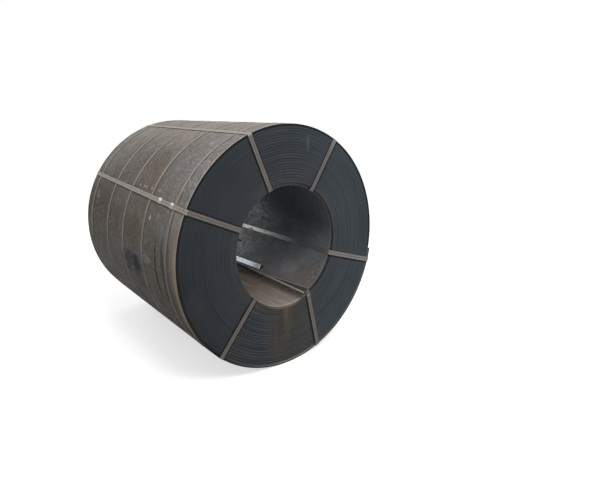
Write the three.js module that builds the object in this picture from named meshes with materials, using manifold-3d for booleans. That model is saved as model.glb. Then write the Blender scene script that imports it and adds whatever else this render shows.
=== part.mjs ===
// Hot-rolled steel coil, lying with its eye horizontal, bound with steel strapping.
// Millimetres, +Z up. The coil's axis is parallel to Y and its front end faces -Y.
// Angles are in degrees round that axis, from +X towards +Z, seen from the front.
import * as THREE from 'three';
import { mergeVertices } from 'three/addons/utils/BufferGeometryUtils.js';
import Module from 'manifold-3d';

const wasm = await Module();
wasm.setup();

// ---- driving dimensions ----
const BORE_RADIUS = 381; // a 762 mm (30 inch) mandrel
const STRIP_THICKNESS = 16;
const STRIP_WIDTH = 1500;
const WINDING_GAP = 0.3; // air left between one turn and the next
const WHOLE_TURNS = 23;
const TURN_WANDER = 4; // how far the turns stand out of line on the ends
const INNER_END_ANGLE = -67.5; // the innermost turn starts here, hanging one strip inside the bore
const INNER_TURN_RECESS = 18; // how far the innermost turn's edges lie back from the ends
const OUTER_END_ANGLE = -11.25; // the outermost turn ends here
const GIRTH_BAND_WIDTH = 25;
const GIRTH_BAND_THICKNESS = 0.9;
const GIRTH_BAND_PLACES = [-0.418, -0.2, 0.007, 0.2, 0.429]; // along the strip's width from its middle
const EYE_STRAP_WIDTH = 32;
const EYE_STRAP_THICKNESS = 1;
const STRAP_TAIL_TIP = 546; // from the front end to the free end of the strap left long
const STRAP_TAIL_LENGTH = 450;
const STRAP_TAIL_SWING = 23; // how far its tip lies to the side of the strap
const STRAP_TAIL_SPRING = 6; // how far its tip stands off the strap
const STRAP_TAIL_SLANT = 12; // its tip is cut off at a slant
const SEAL_LENGTH = 45;
const SEAL_WALL = 0.8;
const SEAL_LIP = 11; // how far each lip folds in under the strap
const SEAL_PLACES = [160, 320]; // from the front end to each seal's middle
const GAP = 0.3; // between pieces that touch
const FACETS = 48;
const STRAP_STEPS = 10; // a skewed strap turns a little at each step along the coil

// Each eye strap crosses the front and the back end at its own angles: [at the rim, at the bore].
const EYE_STRAPS = [
  { name: 'eye_strap_top_left', front: [112, 110.7], back: [109, 109] },
  { name: 'eye_strap_top_right', front: [58.6, 59.7], back: [57, 58] },
  { name: 'eye_strap_right', front: [-17.4, -17], back: [-18, -18.5] },
  { name: 'eye_strap_bottom_right', front: [-70.7, -64.6], back: [-68, -61], tail: true },
  { name: 'eye_strap_bottom_left', front: [-130.5, -131.8], back: [-132, -132] },
  { name: 'eye_strap_left', front: [156.4, 156.8], back: [151.7, 153], seals: SEAL_PLACES },
];

// ---- sizes that follow ----
const TURN_PITCH = STRIP_THICKNESS + WINDING_GAP;
const COIL_WIDTH = STRIP_WIDTH + TURN_WANDER;
const LAP = (OUTER_END_ANGLE - INNER_END_ANGLE) / 360; // the part turn beyond the whole ones
const FACET_ANGLE = 360 / FACETS;
const FACET_FLATNESS = Math.cos(THREE.MathUtils.degToRad(FACET_ANGLE / 2));
const SEAT = 1; // how deep one turn is drawn into the next, so that they join into one body
const SEAT_ANGLE = 0.5; // and how far round at the step where the outlines are cut
const BAND_OUTER_STEP = GAP + GIRTH_BAND_THICKNESS;
const OUTER_RADIUS = windingRadius(WHOLE_TURNS + LAP);
const LAST_BAND_EDGE = Math.max(...GIRTH_BAND_PLACES) * STRIP_WIDTH + GIRTH_BAND_WIDTH / 2;
const FIRST_BAND_EDGE = Math.min(...GIRTH_BAND_PLACES) * STRIP_WIDTH - GIRTH_BAND_WIDTH / 2;

// The spiral climbs across the lowest facet too; turning everything by its slope lays it level.
const LEVELLING = THREE.MathUtils.radToDeg(
  (TURN_PITCH * FACET_ANGLE) / 360 / (2 * OUTER_RADIUS * Math.tan(THREE.MathUtils.degToRad(FACET_ANGLE / 2))),
);

// ---- materials ----
const millScaleSteel = new THREE.MeshStandardMaterial({ color: 0x4a4c4e, roughness: 0.6, metalness: 0.7 });
const strappingSteel = new THREE.MeshStandardMaterial({ color: 0x84796c, roughness: 0.55, metalness: 0.6 });
const sealSteel = new THREE.MeshStandardMaterial({ color: 0xb9b6ae, roughness: 0.4, metalness: 0.8 });

// ---- geometry helpers ----
function onCircle(radius, degrees) {
  const angle = THREE.MathUtils.degToRad(degrees + LEVELLING);
  return new THREE.Vector2(radius * Math.cos(angle), radius * Math.sin(angle));
}

function toSolid(geometry) {
  geometry.deleteAttribute('normal');
  geometry.deleteAttribute('uv');
  const merged = mergeVertices(geometry, 1e-4);
  return new wasm.Manifold(
    new wasm.Mesh({
      numProp: 3,
      vertProperties: new Float32Array(merged.attributes.position.array),
      triVerts: new Uint32Array(merged.index.array),
    }),
  );
}

function toGeometry(solid) {
  const mesh = solid.getMesh();
  const geometry = new THREE.BufferGeometry();
  geometry.setAttribute('position', new THREE.BufferAttribute(mesh.vertProperties, 3));
  geometry.setIndex(new THREE.BufferAttribute(mesh.triVerts, 1));
  return geometry;
}

function joined(geometries) {
  return toGeometry(geometries.map(toSolid).reduce((whole, solid) => whole.add(solid)));
}

// A closed outline with one hole, drawn in X and Z and extruded along the coil's axis.
function extrudeAlongAxis(outline, hole, centreY, length) {
  const shape = new THREE.Shape(outline);
  shape.holes.push(new THREE.Path(hole));
  const geometry = new THREE.ExtrudeGeometry(shape, { depth: length, bevelEnabled: false });
  geometry.rotateX(Math.PI / 2);
  geometry.translate(0, centreY + length / 2, 0);
  return geometry;
}

// ---- the winding ----
// Inner radius of the strip after this many turns from its inner end.
function windingRadius(turns) {
  return BORE_RADIUS + (turns - 1) * TURN_PITCH;
}

function turnsPast(degrees, endAngle) {
  return THREE.MathUtils.euclideanModulo(degrees - endAngle, 360) / 360;
}

function rimRadius(degrees) {
  return windingRadius(WHOLE_TURNS + LAP + turnsPast(degrees, OUTER_END_ANGLE));
}

function boreRadius(degrees) {
  return windingRadius(turnsPast(degrees, INNER_END_ANGLE));
}

// The facets' flats lie on the true radius, so their corners stand a little outside it.
function facetStretch(degrees) {
  const fromCorner = THREE.MathUtils.euclideanModulo(degrees + 90 - FACET_ANGLE / 2, FACET_ANGLE);
  return 1 / Math.cos(THREE.MathUtils.degToRad(fromCorner - FACET_ANGLE / 2));
}

// One turn of the spiral as a closed outline, with a step in it at the cut.
function turnOutline(cutAngle, startTurns, grow = 0) {
  const fromCorner = THREE.MathUtils.euclideanModulo(cutAngle + 90 - FACET_ANGLE / 2, FACET_ANGLE);
  const angles = [cutAngle];
  for (let a = cutAngle - fromCorner + FACET_ANGLE; a < cutAngle + 360; a += FACET_ANGLE) angles.push(a);
  angles.push(cutAngle + 360);
  return angles.map((degrees) => {
    const radius = windingRadius(startTurns + (degrees - cutAngle) / 360) + grow;
    return onCircle(radius * facetStretch(degrees), degrees);
  });
}

// The same turn drawn into its neighbour, all round and at the step.
function seatedOutline(cutAngle, startTurns, grow) {
  const shift = Math.sign(grow) * SEAT_ANGLE;
  return turnOutline(cutAngle + shift, startTurns + shift / 360, grow);
}

// The strip wanders to and fro as it is wound, and stays as wide.
function turnShift(turn) {
  return (TURN_WANDER / 2) * Math.sin(turn * 2.4);
}

// Each turn follows the spiral and stands a little in or out of line with the one before.
function coil() {
  const innermostWidth = COIL_WIDTH - 2 * INNER_TURN_RECESS;
  const outsideInnermost = seatedOutline(INNER_END_ANGLE, 1, SEAT);
  const turns = [extrudeAlongAxis(outsideInnermost, turnOutline(INNER_END_ANGLE, 0), 0, innermostWidth)];
  for (let turn = 2; turn <= WHOLE_TURNS; turn += 1) {
    const outline = turnOutline(OUTER_END_ANGLE, turn + LAP);
    const hole =
      turn === 2 ? turnOutline(INNER_END_ANGLE, 1) : seatedOutline(OUTER_END_ANGLE, turn - 1 + LAP, -SEAT);
    turns.push(extrudeAlongAxis(outline, hole, turnShift(turn), STRIP_WIDTH));
  }
  return joined(turns);
}

// ---- girth bands ----
// A taut band touches only the outline's outward corners and bridges the step in it.
function tautOutline(outline) {
  const isOutward = (point, i, all) => {
    const before = all[(i + all.length - 1) % all.length];
    const after = all[(i + 1) % all.length];
    return point.clone().sub(before).cross(after.clone().sub(point)) > 0;
  };
  let kept = outline;
  let count = 0;
  while (kept.length !== count) {
    count = kept.length;
    kept = kept.filter(isOutward);
  }
  return kept;
}

function girthBand(place) {
  const inner = tautOutline(turnOutline(OUTER_END_ANGLE, WHOLE_TURNS + LAP, GAP));
  const outer = tautOutline(turnOutline(OUTER_END_ANGLE, WHOLE_TURNS + LAP, BAND_OUTER_STEP));
  return extrudeAlongAxis(outer, inner, place * STRIP_WIDTH, GIRTH_BAND_WIDTH);
}

// ---- eye straps ----
// Maps (radius, y, sideways) onto the coil for one strap, following its angles.
function strapPlacer({ front, back }) {
  return (radius, y, sideways) => {
    const along = THREE.MathUtils.clamp(y / COIL_WIDTH + 0.5, 0, 1);
    const rim = onCircle(OUTER_RADIUS, THREE.MathUtils.lerp(front[0], back[0], along));
    const bore = onCircle(BORE_RADIUS, THREE.MathUtils.lerp(front[1], back[1], along));
    const inward = (OUTER_RADIUS - radius) / (OUTER_RADIUS - BORE_RADIUS);
    const point = rim.lerp(bore, inward);
    const tangent = new THREE.Vector2(-point.y, point.x).normalize();
    point.addScaledVector(tangent, sideways);
    return new THREE.Vector3(point.x, y, point.y);
  };
}

function moveVertices(geometry, move) {
  const position = geometry.attributes.position;
  for (let i = 0; i < position.count; i += 1) {
    const point = move(position.getX(i), position.getY(i), position.getZ(i));
    position.setXYZ(i, point.x, point.y, point.z);
  }
  return geometry;
}

// A section drawn in (radius, y) and extruded to the strap's width, then laid on the coil.
function layOnCoil(shape, place, sidewaysAt = () => 0) {
  const geometry = new THREE.ExtrudeGeometry(shape, { depth: EYE_STRAP_WIDTH, bevelEnabled: false });
  return moveVertices(geometry, (radius, y, depth) => {
    const sideways = depth - EYE_STRAP_WIDTH / 2;
    return place(radius, y, sideways + sidewaysAt(y, sideways));
  });
}

// Radius at which a flat strap lies in the bore, under the tightest spot its width covers.
function strapBoreSeat({ front, back }) {
  const halfWidthAngle = THREE.MathUtils.radToDeg(EYE_STRAP_WIDTH / 2 / BORE_RADIUS);
  const tightest = boreRadius(Math.min(front[1], back[1]) - halfWidthAngle);
  return Math.sqrt(tightest ** 2 - (EYE_STRAP_WIDTH / 2) ** 2);
}

// Radius of the highest spot on the rim under a strap.
function strapRimSeat({ front, back }, grow) {
  const halfWidthAngle = THREE.MathUtils.radToDeg(EYE_STRAP_WIDTH / 2 / OUTER_RADIUS);
  return (rimRadius(Math.max(front[0], back[0]) + halfWidthAngle) + grow) / FACET_FLATNESS;
}

function straightRun(radius, fromY, toY) {
  return Array.from({ length: STRAP_STEPS + 1 }, (_, i) => {
    const y = THREE.MathUtils.lerp(fromY, toY, i / STRAP_STEPS);
    return new THREE.Vector2(radius, y);
  });
}

// The round trip a strap makes: over the bands, down an end and over the innermost turn's edge.
function strapRoute(strap) {
  const end = COIL_WIDTH / 2;
  const boreEnd = end - INNER_TURN_RECESS;
  const rim = strapRimSeat(strap, 0);
  const bore = strapBoreSeat(strap);
  return [
    new THREE.Vector2(rim, -end),
    ...straightRun(strapRimSeat(strap, BAND_OUTER_STEP), FIRST_BAND_EDGE, LAST_BAND_EDGE),
    new THREE.Vector2(rim, end),
    new THREE.Vector2(bore + TURN_PITCH, end),
    ...straightRun(bore, boreEnd, -boreEnd),
    new THREE.Vector2(bore + TURN_PITCH, -end),
  ];
}

// A closed route moved off the steel by a distance, its corners mitred.
function offsetRoute(route, distance) {
  return route.map((point, i) => {
    const before = route[(i + route.length - 1) % route.length];
    const after = route[(i + 1) % route.length];
    const [arriving, leaving] = [point.clone().sub(before), after.clone().sub(point)].map((step) =>
      new THREE.Vector2(step.y, -step.x).normalize(),
    );
    const mitre = arriving.clone().add(leaving).divideScalar(1 + arriving.dot(leaving));
    return point.clone().addScaledVector(mitre, distance);
  });
}

// The strap's free end, left long in the bore: rooted in the strap and sprung off it at the tip.
function strapTail(strap) {
  const strapFace = strapBoreSeat(strap) - GAP - EYE_STRAP_THICKNESS;
  const rootFace = strapFace + EYE_STRAP_THICKNESS / 2;
  const tipFace = strapFace - STRAP_TAIL_SPRING;
  const tipY = STRAP_TAIL_TIP - COIL_WIDTH / 2;
  const rootY = tipY + STRAP_TAIL_LENGTH;
  const alongTail = (y) => (rootY - y) / STRAP_TAIL_LENGTH;
  const far = [];
  const near = [];
  for (let i = 0; i <= STRAP_STEPS; i += 1) {
    const y = THREE.MathUtils.lerp(rootY, tipY, i / STRAP_STEPS);
    const radius = THREE.MathUtils.lerp(rootFace, tipFace, (i / STRAP_STEPS) ** 2);
    far.push(new THREE.Vector2(radius, y));
    near.unshift(new THREE.Vector2(radius - EYE_STRAP_THICKNESS, y));
  }
  const shape = new THREE.Shape([...near, ...far]);
  const place = strapPlacer(strap);
  const slantedPlace = (radius, y, sideways) => {
    const slant = (STRAP_TAIL_SLANT * alongTail(y) * sideways) / EYE_STRAP_WIDTH;
    return place(radius, y + slant, sideways);
  };
  return layOnCoil(shape, slantedPlace, (y) => STRAP_TAIL_SWING * alongTail(y));
}

function eyeStrap(strap) {
  const shape = new THREE.Shape(offsetRoute(strapRoute(strap), GAP + EYE_STRAP_THICKNESS));
  shape.holes.push(new THREE.Path(offsetRoute(strapRoute(strap), GAP)));
  const loop = layOnCoil(shape, strapPlacer(strap));
  return strap.tail ? joined([loop, strapTail(strap)]) : loop;
}

// A sleeve folded round a strap, its two lips underneath.
function strapSeal(strap, fromFront) {
  const halfInside = EYE_STRAP_WIDTH / 2 + GAP;
  const halfOutside = halfInside + SEAL_WALL;
  const lipEnd = halfOutside - SEAL_LIP;
  const lipTop = strapRimSeat(strap, BAND_OUTER_STEP);
  const lipBottom = lipTop - SEAL_WALL;
  const coverBottom = lipTop + GAP + EYE_STRAP_THICKNESS + GAP;
  const coverTop = coverBottom + SEAL_WALL;
  const shape = new THREE.Shape(
    [
      [-halfOutside, lipBottom],
      [-lipEnd, lipBottom],
      [-lipEnd, lipTop],
      [-halfInside, lipTop],
      [-halfInside, coverBottom],
      [halfInside, coverBottom],
      [halfInside, lipTop],
      [lipEnd, lipTop],
      [lipEnd, lipBottom],
      [halfOutside, lipBottom],
      [halfOutside, coverTop],
      [-halfOutside, coverTop],
    ].map(([sideways, radius]) => new THREE.Vector2(sideways, radius)),
  );
  const geometry = new THREE.ExtrudeGeometry(shape, { depth: SEAL_LENGTH, bevelEnabled: false });
  const startY = fromFront - (COIL_WIDTH + SEAL_LENGTH) / 2;
  const place = strapPlacer(strap);
  return moveVertices(geometry, (sideways, radius, depth) => place(radius, startY + depth, sideways));
}

// ---- assembly ----
const group = new THREE.Group();

function addPiece(name, geometry, material) {
  const mesh = new THREE.Mesh(geometry, material);
  mesh.name = name;
  group.add(mesh);
}

addPiece('coil', coil(), millScaleSteel);
GIRTH_BAND_PLACES.forEach((place, i) => {
  addPiece(`girth_band_${i + 1}`, girthBand(place), strappingSteel);
});
for (const strap of EYE_STRAPS) {
  addPiece(strap.name, eyeStrap(strap), strappingSteel);
  (strap.seals ?? []).forEach((fromFront, i) => {
    addPiece(`strap_seal_${i + 1}`, strapSeal(strap, fromFront), sealSteel);
  });
}

// The lowest flat lies on z = 0 and the whole is centred over the origin.
const bounds = new THREE.Box3().setFromObject(group);
const centre = bounds.getCenter(new THREE.Vector3());
for (const mesh of group.children) mesh.position.set(-centre.x, -centre.y, -bounds.min.z);

export default group;
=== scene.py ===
# %% [markdown]
# # A coil of hot-rolled steel
# The object is one long steel strip, wound on a mandrel into a coil that weighs about 15 tonnes.
# It lies with its eye, the bore, horizontal. Five narrow bands go round its rim, and six wider
# straps go through its eye. This lesson winds the strip as a true spiral, lays the strapping on
# it, and finishes each surface as the mill and the weather leave it.

# %% Load the fixed frame
import math

import bpy
from mathutils import Matrix, Vector


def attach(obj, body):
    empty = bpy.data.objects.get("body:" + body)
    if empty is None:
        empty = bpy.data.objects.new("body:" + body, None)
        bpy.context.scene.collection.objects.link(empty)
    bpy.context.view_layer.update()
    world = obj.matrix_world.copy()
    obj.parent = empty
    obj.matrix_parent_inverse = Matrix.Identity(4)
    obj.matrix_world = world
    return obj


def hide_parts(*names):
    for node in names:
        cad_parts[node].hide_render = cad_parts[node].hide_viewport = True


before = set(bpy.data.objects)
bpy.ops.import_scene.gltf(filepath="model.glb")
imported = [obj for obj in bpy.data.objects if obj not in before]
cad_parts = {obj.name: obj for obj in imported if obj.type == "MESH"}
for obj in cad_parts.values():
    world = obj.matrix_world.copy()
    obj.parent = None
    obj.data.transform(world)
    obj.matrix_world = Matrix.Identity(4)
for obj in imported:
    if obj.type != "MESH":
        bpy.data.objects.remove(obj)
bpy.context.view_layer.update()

# %% [markdown]
# ## Sizes
# The frame is in metres, and mill sizes are in millimetres, so one constant turns one into the
# other. Angles go round the coil's axis in degrees, from +X towards +Z, seen from the front end.
# The strip starts in the bore and winds outwards, so one rule gives its radius anywhere.

# %% The coil's sizes
MM = 0.001
AXIS = Vector((2.42 * MM, 0.0, 756.08 * MM))
LEVELLING = 0.2  # everything is turned by this much, as the frame's solids are
BORE_RADIUS = 381 * MM
STRIP_THICKNESS = 16 * MM
STRIP_WIDTH = 1500 * MM
WINDING_GAP = 0.3 * MM
TURN_PITCH = STRIP_THICKNESS + WINDING_GAP
TURN_WANDER = 4 * MM
COIL_WIDTH = STRIP_WIDTH + TURN_WANDER
INNER_END_ANGLE = -67.5
OUTER_END_ANGLE = -11.25
WHOLE_TURNS = 23
TURNS = WHOLE_TURNS + (OUTER_END_ANGLE - INNER_END_ANGLE) / 360
INNER_TURN_RECESS = 10 * MM
FULL_RECESS_TO, NO_RECESS_FROM = 0.2, 0.6  # turns from the inner end
EDGE_RADIUS = 0.8 * MM


def winding_radius(turns):
    """Inner radius of the strip after this many turns from its inner end."""
    return BORE_RADIUS + (turns - 1) * TURN_PITCH


def turns_past(end_angle, degrees):
    """The part of a turn that lies between one of the strip's ends and this angle."""
    return ((degrees - end_angle) % 360) / 360


def rim_radius(degrees):
    return winding_radius(TURNS + turns_past(OUTER_END_ANGLE, degrees))


def bore_radius(degrees):
    return winding_radius(turns_past(INNER_END_ANGLE, degrees))


def inner_recess(degrees):
    """How far the innermost turn's edges lie back from the ends."""
    left = NO_RECESS_FROM - turns_past(INNER_END_ANGLE, degrees)
    return INNER_TURN_RECESS * min(max(left / (NO_RECESS_FROM - FULL_RECESS_TO), 0), 1)


def on_coil(radius, y, degrees):
    """A point at this radius, place along the axis and angle."""
    angle = math.radians(degrees + LEVELLING)
    return Vector((AXIS.x + radius * math.cos(angle), y, AXIS.z + radius * math.sin(angle)))


print(f"{TURNS:.2f} turns, rim radius {rim_radius(OUTER_END_ANGLE) / MM:.0f}"
      f" to {rim_radius(OUTER_END_ANGLE - 0.01) / MM:.0f} mm")

# %% [markdown]
# ## The camera
# A coil this size is looked at from standing height, a little to the left of the bore. The lens
# is short and its centre is shifted, so that uprights stay upright.

# %% Camera
IMAGE_WIDTH, IMAGE_HEIGHT = 600, 480
FOCAL_PIXELS = 482.5
LENS_CENTRE = (280.5, 170.5)  # in pixels from the top left corner of the render
EYE_FROM_AXIS = Vector((-1.8119, -2.9954, 0.8099))
LOOKING = Vector((0.61082, 0.78275, -0.11917)).normalized()

camera_data = bpy.data.cameras.new("camera")
camera_data.lens = FOCAL_PIXELS * camera_data.sensor_width / IMAGE_WIDTH
camera_data.shift_x = (IMAGE_WIDTH / 2 - LENS_CENTRE[0]) / IMAGE_WIDTH
camera_data.shift_y = (LENS_CENTRE[1] - IMAGE_HEIGHT / 2) / IMAGE_WIDTH
camera = bpy.data.objects.new("camera", camera_data)
bpy.context.scene.collection.objects.link(camera)
rightwards = LOOKING.cross(Vector((0, 0, 1))).normalized()
upwards = rightwards.cross(LOOKING)
camera.matrix_world = Matrix.Translation(AXIS + EYE_FROM_AXIS) @ Matrix(
    (rightwards, upwards, -LOOKING)).transposed().to_4x4()
bpy.context.scene.camera = camera
print(f"camera {camera.location.z:.2f} m above the floor, lens {camera_data.lens:.1f} mm")

# %% [markdown]
# ## One helper for every node
# Shapes and finishes are both built as node trees. One small function adds any node. It sets the
# node's properties, then fills each input with a value or links another node to it.

# %% The node helper
def fill_inputs(node, inputs):
    """Fills or links a node's inputs, by name or number."""
    usable = [socket for socket in node.inputs if socket.enabled]
    for key, value in inputs.items():
        target = usable[key] if isinstance(key, int) else next(s for s in usable if s.name == key)
        if isinstance(value, bpy.types.Node):
            value = next(socket for socket in value.outputs if socket.enabled)
        if isinstance(value, bpy.types.NodeSocket):
            node.id_data.links.new(value, target)
        else:
            target.default_value = value


def add_node(tree, kind, inputs=None, **settings):
    """Adds a node, sets its properties, and fills its inputs."""
    node = tree.nodes.new(kind)
    for name, value in settings.items():
        setattr(node, name, value)
    fill_inputs(node, inputs or {})
    return node


def colour(hex_code, alpha=1.0):
    """Turns an sRGB hex colour into the linear one that Blender's shaders take."""
    parts = [int(hex_code[i:i + 2], 16) / 255 for i in (0, 2, 4)]
    linear = [p / 12.92 if p <= 0.04045 else ((p + 0.055) / 1.055) ** 2.4 for p in parts]
    return (*linear, alpha)


def count_nodes(owner):
    """Prints how many nodes a material or a geometry tree has so far."""
    tree = owner.node_tree if isinstance(owner, bpy.types.Material) else owner
    print(f"{owner.name}: {len(tree.nodes)} nodes")


print(f"a middle grey of 808080 gives back {colour('808080')[0]:.2f} of the light")

# %% [markdown]
# ## Where a point lies on the coil
# Marks on a coil follow its shape: rolling streaks run round it, stripes run beside its edge, and
# rain carries rust straight down its end. So each finish measures its points from the axis, and
# also unrolls them into an angle from the left-hand side and a distance along the coil. Marks are
# small, so the finishes measure in millimetres.

# %% Places for the finishes
RIM_MM_PER_DEGREE = math.radians(750)  # on the rim's middle radius


class PlaceOnCoil:
    """Sockets that say where a surface point lies, in millimetres and degrees.

    It can also read attributes that the piece's own points carry.
    """

    def __init__(self, material, *attributes):
        tree = material.node_tree
        here = add_node(tree, "ShaderNodeTexCoord").outputs["Object"]
        metres = add_node(tree, "ShaderNodeVectorMath", {0: here, 1: AXIS}, operation="SUBTRACT")
        self.from_axis = add_node(tree, "ShaderNodeVectorMath", {
            0: metres, "Scale": 1 / MM}, operation="SCALE")
        self.x, self.y, self.height = add_node(
            tree, "ShaderNodeSeparateXYZ", {0: self.from_axis}).outputs
        opposite = add_node(tree, "ShaderNodeSeparateXYZ", {0: add_node(
            tree, "ShaderNodeVectorMath", {0: metres, "Scale": -1.0}, operation="SCALE")}).outputs
        angle = add_node(tree, "ShaderNodeMath", {
            0: opposite["Z"], 1: opposite["X"]}, operation="ARCTAN2")
        self.degrees = add_node(tree, "ShaderNodeMath", {0: angle}, operation="DEGREES")
        self.unrolled = add_node(tree, "ShaderNodeCombineXYZ", {"X": self.degrees, "Y": self.y})
        self.on_end = add_node(tree, "ShaderNodeCombineXYZ", {"X": self.x, "Y": self.height})
        self.radius = add_node(tree, "ShaderNodeVectorMath", {
            0: self.on_end}, operation="LENGTH").outputs["Value"]
        for name in attributes:
            read = add_node(tree, "ShaderNodeAttribute", attribute_name=name)
            setattr(self, name, read.outputs["Fac"])


print(f"one degree is {RIM_MM_PER_DEGREE:.1f} mm on the rim")

# %% [markdown]
# ## Masks and layers
# A finish is a base colour with thin layers laid over it, as dirt, rust and wear lie over scale.
# A mask says where a layer shows, from 0 to 1. Some masks are soft patches of noise, some rise
# between two places, and some are single marks. Masks that are multiplied show where all meet.
# So each layer is written as its colour, its strength and its masks.

# %% Masks for the finishes
MARK_FULL_WITHIN, MARK_GONE_FROM = 0.8, 1.15  # distances in half sizes of the mark


def cells(where, x_size, y_size=None, z_size=None):
    """The same place measured in cells of this many millimetres."""
    return add_node(where.id_data, "ShaderNodeVectorMath", {
        0: where, 1: (1 / x_size, 1 / (y_size or x_size), 1 / (z_size or x_size))},
        operation="MULTIPLY")


def patches(where, low, high, detail=3.0, seed=0.0):
    """A mask of soft patches about one cell wide: 0 below the low level, 1 above the high one."""
    noise = add_node(where.id_data, "ShaderNodeTexNoise", {
        "Vector": where, "W": seed, "Scale": 1.0, "Detail": detail}, noise_dimensions="4D")
    return add_node(where.id_data, "ShaderNodeMapRange", {
        "Value": noise, "From Min": low, "From Max": high})


def overlap(*masks):
    """Where all of these masks meet."""
    product = masks[0]
    for mask in masks[1:]:
        product = add_node(mask.id_data, "ShaderNodeMath", {
            0: product, 1: mask}, operation="MULTIPLY")
    return product


def between(value, none_at, full_at, full_to=None, none_from=None):
    """A mask that rises smoothly from 0 to 1. With four levels it stays, then falls back to 0."""
    rise = add_node(value.id_data, "ShaderNodeMapRange", {
        "Value": value, "From Min": none_at, "From Max": full_at},
        interpolation_type="SMOOTHSTEP")
    return rise if full_to is None else overlap(rise, between(value, none_from, full_to))


def mark(flat_place, grain, centre, half_size, ragged=0.6):
    """A mask for one oval mark with a ragged outline."""
    tree = flat_place.id_data
    (cx, cy), (hx, hy) = centre, half_size
    offset = add_node(tree, "ShaderNodeVectorMath", {
        0: flat_place, 1: (1 / hx, 1 / hy, 0.0), 2: (-cx / hx, -cy / hy, 0.0)},
        operation="MULTIPLY_ADD")
    distance = add_node(tree, "ShaderNodeVectorMath", {0: offset}, operation="LENGTH")
    noise = add_node(tree, "ShaderNodeTexNoise", {"Vector": grain, "Scale": 1.0, "Detail": 4.0})
    outline = add_node(tree, "ShaderNodeMath", {
        0: noise, 1: 2 * ragged, 2: distance.outputs["Value"]}, operation="MULTIPLY_ADD")
    return between(outline, MARK_GONE_FROM + ragged, MARK_FULL_WITHIN + ragged)


def graded(mask, low, high):
    """A number that goes from low to high as the mask goes from 0 to 1."""
    return add_node(mask.id_data, "ShaderNodeMapRange", {
        "Value": mask, "To Min": low, "To Max": high})


# %% Layers and the shader
def lay_over(base, *layers):
    """Lays colours over a base one after another, each at a strength, where its masks meet."""
    for hex_code, strength, *masks in layers:
        mask = overlap(*masks)
        amount = add_node(mask.id_data, "ShaderNodeMath", {
            0: mask, 1: strength}, operation="MULTIPLY")
        base = add_node(mask.id_data, "ShaderNodeMix", {
            "Factor": amount, "A": base, "B": colour(hex_code)}, data_type="RGBA")
    return base


def new_finish(name):
    """A material whose shader is still plain."""
    material = bpy.data.materials.new(name)
    material.use_nodes = True
    return material


def finish_surface(material, shade, roughness, relief, relief_depth, others=None):
    """Gives the shader its colour, its roughness, a height mask and any other inputs."""
    tree = material.node_tree
    bump = add_node(tree, "ShaderNodeBump", {
        "Height": relief, "Distance": relief_depth, "Strength": 1.0})
    fill_inputs(tree.nodes["Principled BSDF"], {
        "Base Color": shade, "Roughness": roughness, "Normal": bump, **(others or {})})
    count_nodes(material)


# %% [markdown]
# ## Painted shadow beside the straps
# A strap stands a little off the coil, so a dark line is painted along its edges as its shadow,
# more of it on the lower side. Each strap's line across the end is known, so a point's distance
# from it gives the mask.

# %% Where the straps lie
GIRTH_BAND_WIDTH = 25 * MM
GIRTH_BAND_PLACES = [-0.418, -0.2, 0.007, 0.2, 0.429]  # along the strip's width from its middle
EYE_STRAP_WIDTH = 32 * MM
# Each strap crosses the front and the back end at its own angles: at the rim, at the bore.
EYE_STRAPS = {
    "eye_strap_top_left": [(112, 110.7), (109, 109)],
    "eye_strap_top_right": [(58.6, 59.7), (57, 58)],
    "eye_strap_right": [(-17.4, -17), (-18, -18.5)],
    "eye_strap_bottom_right": [(-70.7, -64.6), (-68, -61)],
    "eye_strap_bottom_left": [(-130.5, -131.8), (-132, -132)],
    "eye_strap_left": [(156.4, 156.8), (151.7, 153)],
}
print(f"{len(GIRTH_BAND_PLACES)} girth bands and {len(EYE_STRAPS)} eye straps")

# %% Shadow masks
# All in millimetres. On the ends the painted shadow lies a little lower than the strap's
# own middle.
STRAP_EDGE = EYE_STRAP_WIDTH / 2 / MM
SHADOW_FULL_TO = STRAP_EDGE + 6
SHADOW_LEAN = 3
END_SHADOW_TO = STRAP_EDGE + 10
RIM_SHADOW_TO = STRAP_EDGE + 11


def on_flat_end(degrees, radius):
    """A point on the end, in millimetres from the axis."""
    angle = math.radians(degrees)
    return Vector((math.cos(angle), math.sin(angle), 0)) * radius / MM


def shadow_beside_strap_on_end(place, name):
    """A mask for the painted shadow along both edges of a strap, on the end where a point lies."""
    tree = place.on_end.id_data
    lines = []
    for at_rim, at_bore in EYE_STRAPS[name]:
        bore = on_flat_end(at_bore, BORE_RADIUS)
        outwards = (on_flat_end(at_rim, winding_radius(TURNS)) - bore).normalized()
        lower_side = Vector((-outwards.y, outwards.x, 0))
        if lower_side.y > 0:
            lower_side.negate()
        lines.append((lower_side.x, lower_side.y, -lower_side.dot(bore) - SHADOW_LEAN))
    # The middle of the coil's width parts the front end's points from the back end's.
    line = add_node(tree, "ShaderNodeMix", {
        "Factor": between(place.y, -100, 100), "A": lines[0], "B": lines[1]}, data_type="VECTOR")
    here = add_node(tree, "ShaderNodeVectorMath", {
        0: place.on_end, 1: (0.0, 0.0, 1.0)}, operation="ADD")
    distance = add_node(tree, "ShaderNodeVectorMath", {
        0: here, 1: line}, operation="DOT_PRODUCT").outputs["Value"]
    to_either_side = add_node(tree, "ShaderNodeMath", {0: distance}, operation="ABSOLUTE")
    # A strap runs almost the same way on both ends, so the back end's direction serves both.
    along = add_node(tree, "ShaderNodeVectorMath", {
        0: place.on_end, 1: outwards}, operation="DOT_PRODUCT").outputs["Value"]
    return overlap(between(along, 0, 100), between(to_either_side, END_SHADOW_TO, SHADOW_FULL_TO))


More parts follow.
